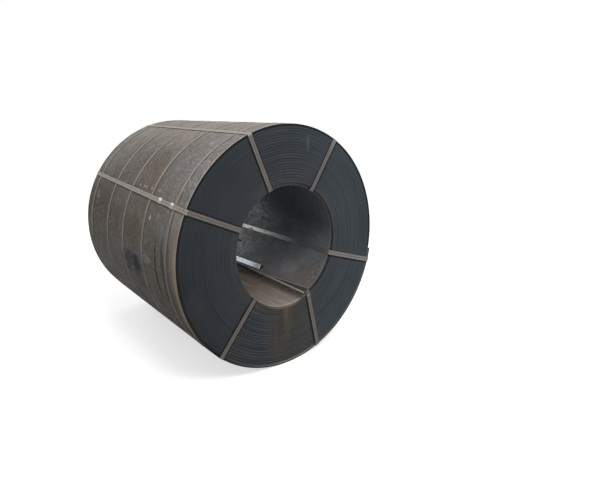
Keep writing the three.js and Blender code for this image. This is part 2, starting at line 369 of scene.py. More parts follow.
def shadow_below_strap_on_rim(place, name):
    """A mask for the painted shadow along a strap's lower edge on the rim."""
    tree = place.degrees.id_data
    (front, _), (back, _) = EYE_STRAPS[name]
    middle = add_node(tree, "ShaderNodeMath", {
        0: place.y, 1: (back - front) / (COIL_WIDTH / MM), 2: (back + front) / 2 - 180},
        operation="MULTIPLY_ADD")
    distance = add_node(tree, "ShaderNodeMath", {
        0: add_node(tree, "ShaderNodeMath", {0: place.degrees, 1: middle}, operation="SUBTRACT"),
        1: RIM_MM_PER_DEGREE}, operation="MULTIPLY")
    return between(distance, 0, STRAP_EDGE / 2, SHADOW_FULL_TO, RIM_SHADOW_TO)


# %% [markdown]
# ## The outer wrap
# Hot-rolled strip is covered with mill scale, the oxide that forms on it at red heat. It is a
# dull grey-brown skin. Rolling draws faint streaks along the strip, cranes and chains scratch
# it, and weather turns it rusty in patches. Stripes run beside the front edge, where water and
# guides have touched it.

# %% Outer wrap: pattern sizes and zones
# Mill scale is an iron oxide that grew on the strip while it was rolled red-hot. It is dull, so
# the shader stays dielectric at the usual IOR of 1.5, with hardly any shine. Real grit is 1 to
# 3 mm and real scratches are 1 mm wide. Both are too fine to show, so the grit is drawn 9 to
# 24 mm wide and the scratches about 4 mm.
wrap_scale = new_finish("outer_wrap_mill_scale")
place = PlaceOnCoil(wrap_scale)
wide = cells(place.from_axis, 450, 300)
middling = cells(place.from_axis, 120, 90)
tinted = cells(place.from_axis, 210, 120)
rolling = cells(place.from_axis, 300, 9)
grit = cells(place.from_axis, 13, 24)
grain = cells(place.from_axis, 34, 48)
speck = cells(place.from_axis, 9, 15)
edge_lines = cells(place.from_axis, 1400, 22)
# Masks that go round the rim close again before the right-hand side, where the angle jumps.
upper_front = overlap(between(place.y, -250, -600), between(place.degrees, 8, -25, -110, -170))
low_left = between(place.degrees, 14, 26, 60, 140)
beside_edge = overlap(between(place.y, -625, -655), between(place.degrees, -15, -3, 25, 42))
count_nodes(wrap_scale)

# %% Outer wrap: scale, dirt and worn stripes
shade = lay_over(
    colour("807c77"),
    # The scale's own tone changes from place to place, and it is rusty or bluish in parts.
    ("746c60", 0.3, patches(wide, 0.42, 0.62, seed=1.0)),
    ("82817f", 0.5, patches(wide, 0.5, 0.68, seed=2.0)),
    ("665f59", 0.4, patches(middling, 0.42, 0.62, detail=6.0, seed=3.0)),
    ("8a7254", 0.28, patches(tinted, 0.44, 0.62, detail=2.0, seed=22.0)),
    ("7c848d", 0.28, patches(tinted, 0.48, 0.64, detail=2.0, seed=23.0)),
    ("7d6448", 0.22, mark(place.unrolled, middling, (-36, -200), (12, 130))),
    ("6d5a44", 0.35, mark(place.unrolled, middling, (-8, -150), (7, 160))),
    # Painted light and shade: lighter on top, darker low on the left side and in parts of the
    # back, as light falls from above.
    ("949398", 0.35, upper_front),
    ("a09b96", 0.5, between(place.degrees, -58, -85, -100, -165)),
    ("453e37", 0.8, between(place.degrees, -40, -8, 60, 150), between(place.y, -100, 550)),
    ("a6a19c", 0.35, between(place.degrees, -20, -40, -60, -80), between(place.y, 250, 600)),
    ("91928c", 0.25, between(place.degrees, -4, 2, 14, 20), between(place.y, -500, -545)),
    ("2a241e", 0.55, between(place.degrees, 10, 28, 60, 140), between(place.y, -250, 50)),
    ("4e4841", 0.6, between(place.degrees, 5, 38, 80, 165)),
    ("3c3630", 0.8, between(place.degrees, 5, 30, 60, 140), between(place.y, -450, -50)),
    ("39332c", 0.4, between(place.degrees, -4, 22, 60, 140), between(place.y, -150, 250)),
    ("2b2622", 0.5, between(place.degrees, 24, 35, 70, 150)),
    ("2b2418", 0.3, low_left, between(place.y, 50, 250)),
    ("403a34", 0.5, between(place.y, 720, 742)),
    ("b5afa8", 0.35, between(place.degrees, -45, -62, -105, -165), between(place.y, -550, -150)),
    ("7d756a", 0.35, mark(place.unrolled, middling, (6, -350), (10, 110))),
    # Rolling streaks, grain, grit and pale specks all over.
    ("59524c", 0.3, patches(rolling, 0.5, 0.7, seed=5.0)),
    ("534c46", 0.22, patches(grain, 0.47, 0.6, detail=5.0, seed=9.0)),
    ("4d4843", 0.3, patches(grit, 0.46, 0.6, seed=10.0)),
    ("a39e98", 0.2, patches(grit, 0.54, 0.66, seed=6.0)),
    ("bdb9b3", 0.5, patches(middling, 0.5, 0.62, seed=19.0),
     patches(speck, 0.6, 0.7, detail=1.0, seed=18.0)),
    ("c3beb8", 0.3, upper_front, patches(grit, 0.58, 0.66, seed=16.0)),
    # Painted shade low on the left side, and painted shadow below two of the straps.
    ("1f1a16", 0.5, low_left, between(place.y, -150, 100)),
    ("3a332c", 0.85, shadow_below_strap_on_rim(place, "eye_strap_left")),
    ("4a433c", 0.5, shadow_below_strap_on_rim(place, "eye_strap_top_left")),
    # Rubbed and rusty stripes beside the front edge, and the bare edge itself, painted paler along
    # the top as a highlight.
    ("aea59d", 0.32, between(place.y, -640, -665), between(place.degrees, -28, -20, -4, 14)),
    ("937f62", 0.6, beside_edge, patches(edge_lines, 0.5, 0.56, seed=7.0)),
    ("5d6056", 0.6, beside_edge, patches(edge_lines, 0.52, 0.58, seed=8.0)),
    ("c2b199", 0.75, beside_edge, between(place.y, -690, -735)),
    ("c4b29d", 0.8, between(place.y, -742, -748)),
    ("cac5c0", 0.7, between(place.y, -740, -746), between(place.degrees, -6, -20, -140, -176)))
count_nodes(wrap_scale)

# %% Outer wrap: scuff, streaks and spots
# Each mark has its middle and its half size, as degrees round the coil and millimetres along it.
scuff = mark(place.unrolled, grain, (9, -105), (6, 160), 0.4)
shade = lay_over(
    shade,
    ("262b32", 0.8, scuff, patches(grain, 0.37, 0.45, detail=5.0, seed=21.0)),
    ("24272b", 0.6, mark(place.unrolled, grit, (8.5, -195), (4, 45), 0.5)),
    ("2c3238", 0.7, mark(place.unrolled, grit, (5.5, -488), (14, 13), 0.4)),
    ("262b30", 0.75, mark(place.unrolled, grit, (15.5, -500), (9, 8), 0.4)),
    ("32383e", 0.6, mark(place.unrolled, grit, (-3, -571), (11, 9), 0.5)),
    ("2c3238", 0.8, mark(place.unrolled, grit, (8, -592), (12, 9), 0.4)),
    ("858c93", 0.5, mark(place.unrolled, grit, (-12, -548), (4, 22), 0.9)),
    ("a19a90", 0.5, mark(place.unrolled, grain, (3, -350), (2.5, 60), 0.8)),
    ("c4c1bc", 0.85, mark(place.unrolled, grit, (-16, -369), (1.3, 12), 0.5)),
    ("a5a19c", 0.5, mark(place.unrolled, grit, (-17.9, -465), (1.6, 14), 0.8)),
    ("c0bbb4", 0.6, mark(place.unrolled, grit, (-31.7, -643), (0.8, 9))))
# A painted shadow lies in the corner in front of each girth band.
for share in GIRTH_BAND_PLACES:
    band_edge = (share * STRIP_WIDTH - GIRTH_BAND_WIDTH / 2) / MM
    shade = lay_over(shade, (
        "4a423b", 0.5, between(place.y, band_edge - 14, band_edge - 9, band_edge, band_edge + 2),
        between(place.degrees, 20, -15, -140, -176)))
# A row of pale spots runs along the coil.
for y in (-87, -150, -183, -262, -371):
    shade = lay_over(shade, ("b9b3aa", 0.75, mark(place.unrolled, grit, (-28.6, y), (0.7, 12))))
count_nodes(wrap_scale)

# %% Outer wrap: scratches and relief
SCRATCH_DIRECTIONS = [  # slant, length and spacing in mm, fineness, strength, seed
    (28, 400, 70, 0.014, 0.45, 11.0),
    (-50, 300, 60, 0.012, 0.4, 12.0),
    (75, 260, 70, 0.012, 0.4, 17.0),
]


def scratch_mask(place, slant, length, spacing, fineness, seed):
    """Thin lines at a slant: the contour lines of a stretched noise, broken into short lengths."""
    tree = place.unrolled.id_data
    flat = add_node(tree, "ShaderNodeVectorMath", {
        0: place.unrolled, 1: (RIM_MM_PER_DEGREE, 1.0, 0.0)}, operation="MULTIPLY")
    slanted = add_node(tree, "ShaderNodeVectorRotate", {
        "Vector": flat, "Angle": math.radians(slant)}, rotation_type="Z_AXIS")
    noise = add_node(tree, "ShaderNodeTexNoise", {
        "Vector": cells(slanted, length, spacing), "W": seed, "Scale": 1.0, "Detail": 1.0},
        noise_dimensions="4D")
    from_middle = add_node(tree, "ShaderNodeMath", {0: noise, 1: 0.5}, operation="SUBTRACT")
    from_line = add_node(tree, "ShaderNodeMath", {0: from_middle}, operation="ABSOLUTE")
    broken = patches(cells(place.from_axis, length), 0.5, 0.62, seed=seed + 5)
    return overlap(between(from_line, fineness, 0.0), broken,
                   between(place.degrees, -176, -160, 160, 176))


for *direction, strength, seed in SCRATCH_DIRECTIONS:
    shade = lay_over(shade, ("bdb7af", strength, scratch_mask(place, *direction, seed)))
relief = add_node(wrap_scale.node_tree, "ShaderNodeMath", {
    0: patches(rolling, 0.3, 0.7, seed=14.0), 1: patches(grit, 0.3, 0.7, detail=5.0, seed=15.0)},
    operation="ADD")
roughness = graded(patches(middling, 0.3, 0.7, detail=6.0, seed=13.0), 0.5, 0.68)
finish_surface(wrap_scale, shade, roughness, relief, 0.4 * MM, {"Specular IOR Level": 0.04})

# %% [markdown]
# ## The coil's ends
# The ends are the strip's edges, one beside the next. They are nearly black with scale, and drier
# than the skin. Each turn has its own tone, because each edge was rubbed a little differently.
# The turns beside the bore are worn, and rust has run down from the bore.

# %% Strip edges: pattern sizes and zones
# The mill edges keep a thin blue-black oxide, so they are dark, slightly blue and dry. Their torn
# grain is under 1 mm, and is drawn 7 mm wide to show. One side of each sheared edge is burnished
# and the other is torn, so fine lines follow the turns.
edge_scale = new_finish("strip_edge_scale")
place = PlaceOnCoil(edge_scale, "turn", "through")
fine = cells(place.from_axis, 7)
cloud = cells(place.from_axis, 160)
runs = cells(place.from_axis, 60, 100, 300)
low_end = between(place.degrees, 44, 52, 106, 118)
high_end = between(place.degrees, -58, -74, -112, -134)
below_bore = between(place.height, -330, -400)
burnished = between(place.through, 0.12, 0.36)
torn = between(place.through, 0.0, -0.3)
worn_outer_turn = overlap(
    between(place.turn, TURNS - 0.34, TURNS - 0.24), between(place.through, 0.1, -0.05))


def along_strip(place, patches_per_turn, low, high, seed):
    """A mask that changes along the strip, so that every turn has its own tone."""
    tree = place.turn.id_data
    where = add_node(tree, "ShaderNodeMath", {
        0: place.turn, 1: patches_per_turn, 2: seed * 40}, operation="MULTIPLY_ADD")
    noise = add_node(tree, "ShaderNodeTexNoise", {
        "W": where, "Scale": 1.0, "Detail": 2.0}, noise_dimensions="1D")
    return add_node(tree, "ShaderNodeMapRange", {
        "Value": noise, "From Min": low, "From Max": high})


count_nodes(edge_scale)

# %% Strip edges: tones, lines and stains
shade = lay_over(
    colour("32373c"),
    # The end is painted lighter on the right and darker on the left, as light and shade.
    ("464e55", 0.6, between(place.x, 0, 450)),
    ("1f2327", 0.5, between(place.x, -50, -600), between(place.radius, 430, 720)),
    # Tones and fine lines that follow the turns.
    ("3c444b", 0.2, along_strip(place, 2.3, 0.45, 0.7, 1.0)),
    ("20252a", 0.3, along_strip(place, 3.1, 0.5, 0.7, 2.0)),
    ("4a4f54", 0.15, high_end, along_strip(place, 5.3, 0.48, 0.6, 3.0)),
    ("1d2226", 0.2, high_end, along_strip(place, 7.7, 0.5, 0.6, 6.0)),
    ("6e6d6a", 0.62, low_end, burnished, along_strip(place, 4.3, 0.3, 0.6, 3.0)),
    ("14171a", 0.6, low_end, torn, along_strip(place, 6.1, 0.3, 0.6, 4.0)),
    ("565b60", 0.4, high_end, burnished, along_strip(place, 5.3, 0.4, 0.6, 9.0)),
    ("15191c", 0.35, high_end, torn, along_strip(place, 7.1, 0.4, 0.6, 10.0)),
    # Clouds, grain, dust round the bore, and the stains below it.
    ("393e43", 0.2, patches(cloud, 0.45, 0.7, seed=4.0)),
    ("454c52", 0.25, patches(fine, 0.5, 0.7, detail=5.0, seed=5.0)),
    ("4c4945", 0.45, between(place.radius, 470, 385), patches(cloud, 0.35, 0.6, seed=6.0)),
    ("46423c", 0.4, below_bore, mark(place.on_end, cloud, (20, -560), (190, 260))),
    ("6b5c4a", 0.55, below_bore, patches(runs, 0.36, 0.6, seed=7.0),
     between(place.height, -760, -400), mark(place.on_end, cloud, (-35, -520), (75, 330), 0.5)),
    ("80654a", 0.2, mark(place.on_end, fine, (-20, -420), (24, 55), 1.0)),
    ("7d8386", 0.2, mark(place.on_end, fine, (155, 625), (10, 50), 0.9)),
    # Worn turns at the bore and at the rim, painted shade on the outermost turn and on the
    # recessed inner turn, and painted shadow beside the straps.
    ("8a7f73", 0.5, between(place.turn, 0.85, 0.91, 0.955, 0.985)),
    ("0d0e0f", 0.85, between(place.turn, TURNS - 1.001, TURNS - 0.999)),
    ("2c2b2b", 0.3, between(place.turn, 0.5, 0.4), between(place.x, 100, 200)),
    *(("0e0d0d", 0.9, shadow_beside_strap_on_end(place, name)) for name in EYE_STRAPS),
    ("91887b", 0.5, worn_outer_turn),
    ("a39a8d", 0.5, worn_outer_turn, between(place.x, -150, -40, 100, 300)))
roughness = graded(patches(cloud, 0.3, 0.7, detail=6.0, seed=8.0), 0.55, 0.75)
relief = patches(fine, 0.3, 0.7, detail=5.0, seed=9.0)
# Sheared and scaled edges are dry, so they shine little.
finish_surface(edge_scale, shade, roughness, relief, 0.4 * MM, {"Specular IOR Level": 0.15})

# %% [markdown]
# ## The bore
# The innermost turn's inside was pressed on the mandrel. It is blue-grey, mottled and painted
# paler towards the back, as light from the far opening. It is browner towards the front, and dusty
# below the strip's inner end.

# %% Bore: pattern sizes and zones
# Pressing and rubbing polish mill scale, so it shines in patches and is rough in others. Its
# specks of 1 to 2 mm are drawn 9 to 14 mm wide to show.
SHADOW_WIDENS = 0.11 * MM  # turns that the painted shadow beside the step gains for each mm to the back

bore_scale = new_finish("bore_mill_scale")
place = PlaceOnCoil(bore_scale, "turn")
mottled = cells(place.from_axis, 70, 110)
dusty = cells(place.from_axis, 140, 400)
fine = cells(place.from_axis, 9, 14)
grain = cells(place.from_axis, 25, 35)
streaks = cells(place.from_axis, 25, 300)
towards_front = between(place.y, 100, -650)
towards_back = between(place.y, 50, 500)
lower_right = between(place.turn, 0.2, 0.05)
under_the_end = between(place.turn, 0.70, 0.80, 0.999, 1.003)
sheared_end = between(place.turn, 0.002, 0.0)
past_first_turn = between(place.turn, 1.003, 1.004)
lit_streaked_back = overlap(between(place.degrees, 108, 132, 154, 160), between(place.y, -80, 260))
nick = mark(place.unrolled, fine, (142.3, 258), (1.2, 60), 0.15)
shadow_limit = add_node(bore_scale.node_tree, "ShaderNodeMath", {
    0: place.y, 1: SHADOW_WIDENS, 2: place.turn}, operation="MULTIPLY_ADD")
count_nodes(bore_scale)

# %% Bore: mottling, dust and grime
shade = lay_over(
    colour("60666b"),
    # Mottled scale, brown at the lower right in front, and painted paler low down at the back, as
    # light from the far opening.
    ("767d84", 0.5, patches(mottled, 0.42, 0.66, detail=5.0, seed=1.0)),
    ("484b4e", 0.4, patches(mottled, 0.5, 0.7, detail=4.0, seed=2.0)),
    ("b4bcc3", 0.9, towards_back, between(place.height, 130, 0),
     patches(grain, 0.36, 0.6, detail=5.0)),
    ("98a0a8", 0.28, towards_back, patches(mottled, 0.35, 0.65, detail=3.0, seed=14.0)),
    ("515253", 0.7, towards_front, lower_right),
    ("75593f", 0.25, towards_front, lower_right, patches(dusty, 0.48, 0.62, seed=3.0)),
    ("757c84", 0.35, mark(place.unrolled, mottled, (133, -430), (8, 80), 0.8)),
    # The top is painted darker as shade, less so at the front.
    ("40454c", 0.65, between(place.height, -20, 130)),
    ("676e78", 0.85, towards_front, between(place.height, 60, 150)),
    # The lower right wall at the back is painted pale in streaks, as light from the far opening.
    ("a3acb5", 0.8, lit_streaked_back, patches(grain, 0.38, 0.62, detail=6.0, seed=11.0)),
    ("c4ccd4", 0.5, lit_streaked_back, patches(fine, 0.5, 0.64, detail=5.0, seed=12.0)),
    ("33373b", 0.5, lit_streaked_back, patches(grain, 0.55, 0.65, detail=5.0, seed=13.0)),
    ("2d353e", 0.55, between(place.height, -190, -160, 60, 160), between(place.x, 0, 100),
     between(place.y, -100, 60)),
    ("484b4e", 0.35, towards_front, between(place.height, -220, -60)),
    ("86664e", 0.25, mark(place.unrolled, grain, (126.5, -689), (1.6, 14))),
    ("86664e", 0.2, mark(place.unrolled, grain, (129.8, -628), (1.0, 10))),
    # A painted shadow lies under the free end's tip.
    ("0b0b0c", 0.95, mark(place.unrolled, fine, (121.3, -208), (2.6, 16), 0.1)),
    # Dust on the floor below the strip's inner end, painted paler towards the front and darker
    # further back as light falls in, a painted highlight on the front lip, and a painted shadow in
    # the corner beside the step.
    ("5c5955", 0.9, under_the_end),
    ("4e4b48", 0.5, under_the_end, between(place.y, -350, 0)),
    ("735b42", 0.45, under_the_end, patches(dusty, 0.42, 0.6, seed=4.0)),
    ("96918b", 0.45, under_the_end, patches(streaks, 0.5, 0.65, seed=8.0)),
    ("9d948a", 0.4, under_the_end, between(place.y, -300, -745)),
    ("b8ae9f", 0.5, under_the_end, between(place.y, -715, -745)),
    ("211f1e", 0.85, under_the_end, between(place.turn, 0.968, 0.99)),
    ("0e0e0f", 0.95, under_the_end, between(shadow_limit, 0.96, 0.97)),
    ("94938f", 0.25, patches(fine, 0.5, 0.7, detail=4.0, seed=5.0)),
    ("0a0a0b", 1.0, nick),
    # A painted highlight on the front edge at the lower right, painted shade on the next turn in
    # the recess behind the first turn, and the strip's cut end, painted pale towards the front as
    # light.
    ("979189", 0.65, between(place.y, -731, -738), between(place.x, 100, 200),
     between(place.height, 120, 20)),
    ("3d4043", 0.75, past_first_turn),
    ("0f0f10", 0.9, past_first_turn, between(place.height, 110, 20)),
    ("5d5852", 0.9, sheared_end),
    ("e2ddd4", 0.95, sheared_end, between(place.y, 200, -550)))
polished = graded(patches(grain, 0.4, 0.6, detail=5.0, seed=6.0), 0.34, 0.62)
roughness = add_node(bore_scale.node_tree, "ShaderNodeMath", {
    0: polished, 1: nick}, operation="MAXIMUM")
relief = patches(fine, 0.3, 0.7, detail=5.0, seed=7.0)
finish_surface(bore_scale, shade, roughness, relief, 0.3 * MM)

# %% [markdown]
# ## The strapping
# Steel strapping is cold-rolled, slit and given a thin waxed or painted coat. Outdoors it goes
# taupe, its slit edges rust first, and it is darker low down. The free end that lay inside
# the roll has kept its bright metal. Both finishes read how far across the strap a point lies:
# it goes from -0.5 at one edge to 0.5 at the other.

# %% Eye straps: pattern sizes and zones
# Cold-rolled strapping under old wax and dirt is dull and only a little metallic. Where it was
# scraped in the bore, bare metal shows. Its specks are drawn 8 mm wide, coarser than real ones.
WEDGE_LENGTH = 360  # mm along the coil in which the scraped line crosses the whole strap

strapping_steel = new_finish("weathered_strapping_steel")
place = PlaceOnCoil(strapping_steel, "across")
tree = strapping_steel.node_tree
from_middle = add_node(tree, "ShaderNodeMath", {0: place.across}, operation="ABSOLUTE")
cloud = cells(place.from_axis, 90)
fine = cells(place.from_axis, 8)
scraped = cells(place.from_axis, 9, 60)
in_bore = between(place.radius, 388, 382)
outside_bore = between(place.radius, 386, 392)
on_rim = between(place.radius, 735, 741)
far_in = between(place.y, -450, 100, 460, 620)
low_in_bore = overlap(in_bore, between(place.height, -180, -230))
borders = between(from_middle, 0.37, 0.45)
scraped_bright = overlap(in_bore, far_in, patches(scraped, 0.4, 0.5, detail=4.0, seed=7.0))
# The low strap's run is scraped along a slanting line, and a shadow is painted between it and the
# step.
wedge = add_node(tree, "ShaderNodeMath", {
    0: place.y, 1: 1 / WEDGE_LENGTH, 2: place.across}, operation="MULTIPLY_ADD")
count_nodes(strapping_steel)

# %% Eye straps: coat, dirt and bare metal
shade = lay_over(
    colour("54504b"),
    # The coat, painted pale on the rim and dark on the ends as light and shade, with its grain.
    ("a79c8f", 1.0, on_rim),
    ("958b82", 0.3, on_rim, between(place.height, 420, 150)),
    ("6f665d", 0.35, patches(cloud, 0.42, 0.64, detail=4.0, seed=1.0)),
    ("d0cac2", 0.65, on_rim, patches(fine, 0.52, 0.62, detail=4.0, seed=3.0)),
    ("7d736a", 0.4, on_rim, patches(fine, 0.5, 0.6, detail=4.0, seed=9.0)),
    ("544a41", 0.3, patches(fine, 0.5, 0.7, detail=4.0, seed=6.0)),
    ("4d4741", 0.8, between(place.height, 60, -200)),
    # In the bore it is cleaner. Near the front it is painted darker as shade, further in it is
    # painted pale as a reflection of the far opening's light, and it is scraped bright in patches.
    ("757879", 0.8, in_bore),
    ("54585b", 0.8, in_bore, between(place.y, -250, -450)),
    ("d4d4d6", 0.8, in_bore, far_in),
    ("dfdedc", 1.0, scraped_bright),
    ("656360", 0.9, low_in_bore),
    ("95867a", 0.7, between(place.height, 0, -250), between(place.y, -705, -725),
     between(place.radius, 400, 392), between(place.x, 0, 60)),
    # Dark edges, partly slit-edge rust and partly painted shadow, and a dark line between two pale
    # ones along the middle on the ends.
    ("25211e", 0.75, borders, outside_bore),
    ("25211e", 0.75, borders, far_in),
    ("7d7d7e", 0.6, between(place.x, 330, 370), outside_bore),
    ("a59d94", 0.18, between(from_middle, 0.12, 0.17, 0.31, 0.36),
     between(place.radius, 386, 392, 738, 742)),
    ("4a4540", 0.5, between(place.across, -0.14, -0.05, 0.02, 0.11), outside_bore),
    ("25211e", 0.7, between(from_middle, 0.28, 0.38), between(place.x, 0, -100),
     between(place.height, -150, -280)),
    # The low strap's scraped line, a painted shadow beside it, and the painted shadow of the free
    # end's tip.
    ("9c8c7d", 0.85, low_in_bore, between(wedge, -1.33, -1.42)),
    ("2b2826", 0.9, low_in_bore, between(wedge, -1.52, -1.58)),
    ("0b0b0c", 0.95, low_in_bore, mark(place.unrolled, fine, (120.5, -210), (2.6, 16), 0.1)))
roughness = graded(patches(cloud, 0.3, 0.7, detail=6.0, seed=4.0), 0.42, 0.6)
relief = patches(fine, 0.3, 0.7, seed=5.0)
finish_surface(strapping_steel, shade, roughness, relief, 0.12 * MM, {
    "Metallic": graded(scraped_bright, 0.2, 0.9)})

# %% Girth bands
# The girth bands are the same steel, dustier, and the dust hides their metal. Its specks are
# drawn 12 mm wide to show.
band_steel = new_finish("weathered_band_steel")
place = PlaceOnCoil(band_steel, "across")
cloud = cells(place.from_axis, 90)
fine = cells(place.from_axis, 12)
shade = lay_over(
    colour("a19790"),
    ("877d75", 0.3, patches(cloud, 0.42, 0.64, detail=4.0, seed=1.0)),
    ("8d8580", 0.3, between(place.degrees, -35, -60, -110, -165)),
    ("b8afa7", 0.4, patches(fine, 0.52, 0.66, detail=4.0, seed=3.0)),
    ("6b6058", 0.4, patches(fine, 0.52, 0.66, detail=4.0, seed=6.0)),
    ("544b45", 0.6, between(place.across, -0.38, -0.44)),
    # Low on the left side and below, the band is painted darker as shade.
    ("7e7166", 0.35, between(place.degrees, -35, -10, 90, 165)),
    ("57504a", 0.9, between(place.degrees, -5, 12, 90, 165)))
roughness = graded(patches(cloud, 0.3, 0.7, detail=6.0, seed=4.0), 0.5, 0.65)
relief = patches(fine, 0.3, 0.7, seed=5.0)
finish_surface(band_steel, shade, roughness, relief, 0.12 * MM, {"Specular IOR Level": 0.15})

# %% The strap's free end
# Cold-rolled steel that was kept dry is a smooth metal, so it mirrors the light round it. Its
# edges and its cut tip are painted near-white as highlights. Fine scrapes along it are drawn 9 mm
# wide to show.
STRAP_TAIL_LENGTH = 450 * MM
TAIL_TIP_FROM = STRAP_TAIL_LENGTH - 20 * MM

bright_strapping = new_finish("bright_strapping_steel")
place = PlaceOnCoil(bright_strapping, "across", "along")
from_middle = add_node(bright_strapping.node_tree, "ShaderNodeMath", {
    0: place.across}, operation="ABSOLUTE")
cloud = cells(place.from_axis, 60)
scraped = cells(place.from_axis, 9, 120)
shade = lay_over(
    colour("d2dbe6"),
    ("96a0ab", 0.4, patches(cloud, 0.5, 0.7, detail=5.0, seed=1.0)),
    ("929ca8", 0.5, patches(scraped, 0.5, 0.66, detail=4.0, seed=2.0)),
    ("f4f7fa", 0.8, between(from_middle, 0.36, 0.44)),
    ("f4f7fa", 0.8, between(place.along, TAIL_TIP_FROM, TAIL_TIP_FROM + 8 * MM)))
roughness = graded(patches(cloud, 0.3, 0.7, detail=6.0, seed=4.0), 0.16, 0.28)
relief = patches(cloud, 0.3, 0.7, seed=5.0)
finish_surface(bright_strapping, shade, roughness, relief, 0.1 * MM, {"Metallic": 0.85})

# %% Zinc on the seals
# Hot-dip zinc sets in crystals a few millimetres wide, and goes dull outdoors. A white patch on
# each seal's upper side is a painted glint.
zinc_coat = new_finish("zinc_coated_seal")
place = PlaceOnCoil(zinc_coat)
spangle = cells(place.from_axis, 5)
shade = lay_over(
    colour("aaa093"),
    ("8b8175", 0.5, patches(spangle, 0.5, 0.65, detail=3.0, seed=1.0)),
    ("f2f3f2", 1.0, mark(place.unrolled, spangle, (-25.2, -433), (0.95, 20), 0.4)),
    ("f2f3f2", 1.0, mark(place.unrolled, spangle, (-24.9, -593), (0.85, 17), 0.4)))
roughness = graded(patches(spangle, 0.3, 0.7, detail=4.0, seed=2.0), 0.3, 0.5)
relief = patches(spangle, 0.3, 0.7, seed=3.0)
finish_surface(zinc_coat, shade, roughness, relief, 0.1 * MM, {"Metallic": 0.3})

# %% [markdown]
# ## Running a geometry tree
# A Geometry Nodes tree takes named sizes, so the same tree can make several pieces. The strip, the
# bands and the straps are all sheet steel with a line to follow, so one function sweeps a section
# along a line in each tree. The last function runs a tree once and keeps what it made as a plain
# mesh, with no modifier left on it.

# %% New trees and plain meshes from them
SHARP_CORNER = math.radians(25)


def new_geometry_tree(name, sizes, finishes):
    """A tree with named sizes and finishes. Gives back the tree, its inputs and its end."""
    tree = bpy.data.node_groups.new(name, "GeometryNodeTree")
    tree.interface.new_socket("Geometry", in_out="INPUT", socket_type="NodeSocketGeometry")
    tree.interface.new_socket("Geometry", in_out="OUTPUT", socket_type="NodeSocketGeometry")
    for size in sizes:
        tree.interface.new_socket(size, in_out="INPUT", socket_type="NodeSocketFloat")
    for finish in finishes:
        tree.interface.new_socket(finish, in_out="INPUT", socket_type="NodeSocketMaterial")
    return tree, add_node(tree, "NodeGroupInput").outputs, add_node(tree, "NodeGroupOutput")


def sweep(tree, line, section, name, offset, width):
    """Sweeps a section along a line. Its points keep their share of a width as an attribute."""
    share = add_node(tree, "ShaderNodeMath", {0: offset, 1: width}, operation="DIVIDE")
    marked = add_node(tree, "GeometryNodeStoreNamedAttribute", {
        "Geometry": section, "Name": name, "Value": share}, data_type="FLOAT", domain="POINT")
    swept = add_node(tree, "GeometryNodeCurveToMesh", {
        "Curve": line, "Profile Curve": marked, "Fill Caps": True})
    # It is shaded smooth along its length but flat across its corners.
    corner = add_node(tree, "ShaderNodeMath", {
        0: add_node(tree, "GeometryNodeInputMeshEdgeAngle"), 1: SHARP_CORNER},
        operation="GREATER_THAN")
    return add_node(tree, "GeometryNodeSetShadeSmooth", {
        "Geometry": swept, "Selection": corner, "Shade Smooth": False}, domain="EDGE")


def make_piece(name, tree, values, start_mesh=None):
    """Runs the tree on a start mesh and keeps the result as a plain mesh object."""
    piece = bpy.data.objects.new(name, start_mesh or bpy.data.meshes.new(name))
    bpy.context.scene.collection.objects.link(piece)
    modifier = piece.modifiers.new(tree.name, "NODES")
    modifier.node_group = tree
    for item in tree.interface.items_tree:
        if item.in_out == "INPUT" and item.name in values:
            modifier[item.identifier] = values[item.name]
    depsgraph = bpy.context.evaluated_depsgraph_get()
    mesh = bpy.data.meshes.new_from_object(
        piece.evaluated_get(depsgraph), preserve_all_data_layers=True, depsgraph=depsgraph)
    piece.modifiers.clear()
    piece.data = mesh
    mesh.name = name
    triangles = sum(len(face.vertices) - 2 for face in mesh.polygons)
    print(f"{name}: {len(mesh.vertices)} points, {triangles} triangles")
    return piece


# %% [markdown]
# ## Winding the strip
# On the real coil a flat strip winds on itself, so every turn lies on the one before. A lathe
# would give closed rings. A spiral curve swept with the strip's section gives the real winding,
# with both of its ends. The strip wandered to and fro as it was wound, so its edges stand a
# little in and out. The innermost turn's edges lie back, because the strip's head is narrower.

# %% The winding tree: a swept spiral
winding, size, result = new_geometry_tree(
    "wound strip",
    ["Turns", "Inner radius", "Outer radius", "Start angle", "Points per turn",
     "Thickness", "Width", "Edge radius", "Wander", "Seed", "Recess"],
    ["Outer wrap", "Strip edges", "Bore"])
spiral = add_node(winding, "GeometryNodeCurveSpiral", {
    "Resolution": size["Points per turn"], "Rotations": size["Turns"],
    "Start Radius": size["Inner radius"], "End Radius": size["Outer radius"],
    "Height": 0.0, "Reverse": True})
start = add_node(winding, "ShaderNodeCombineXYZ", {"Z": size["Start angle"]})
turned = add_node(winding, "GeometryNodeTransform", {"Geometry": spiral, "Rotation": start})
# Each point of the strip knows how many turns lie between it and the inner end.
turn_here = add_node(winding, "ShaderNodeMath", {
    0: add_node(winding, "GeometryNodeInputIndex"), 1: size["Points per turn"]},
    operation="DIVIDE")
numbered = add_node(winding, "GeometryNodeStoreNamedAttribute", {
    "Geometry": turned, "Name": "turn", "Value": turn_here}, data_type="FLOAT", domain="POINT")
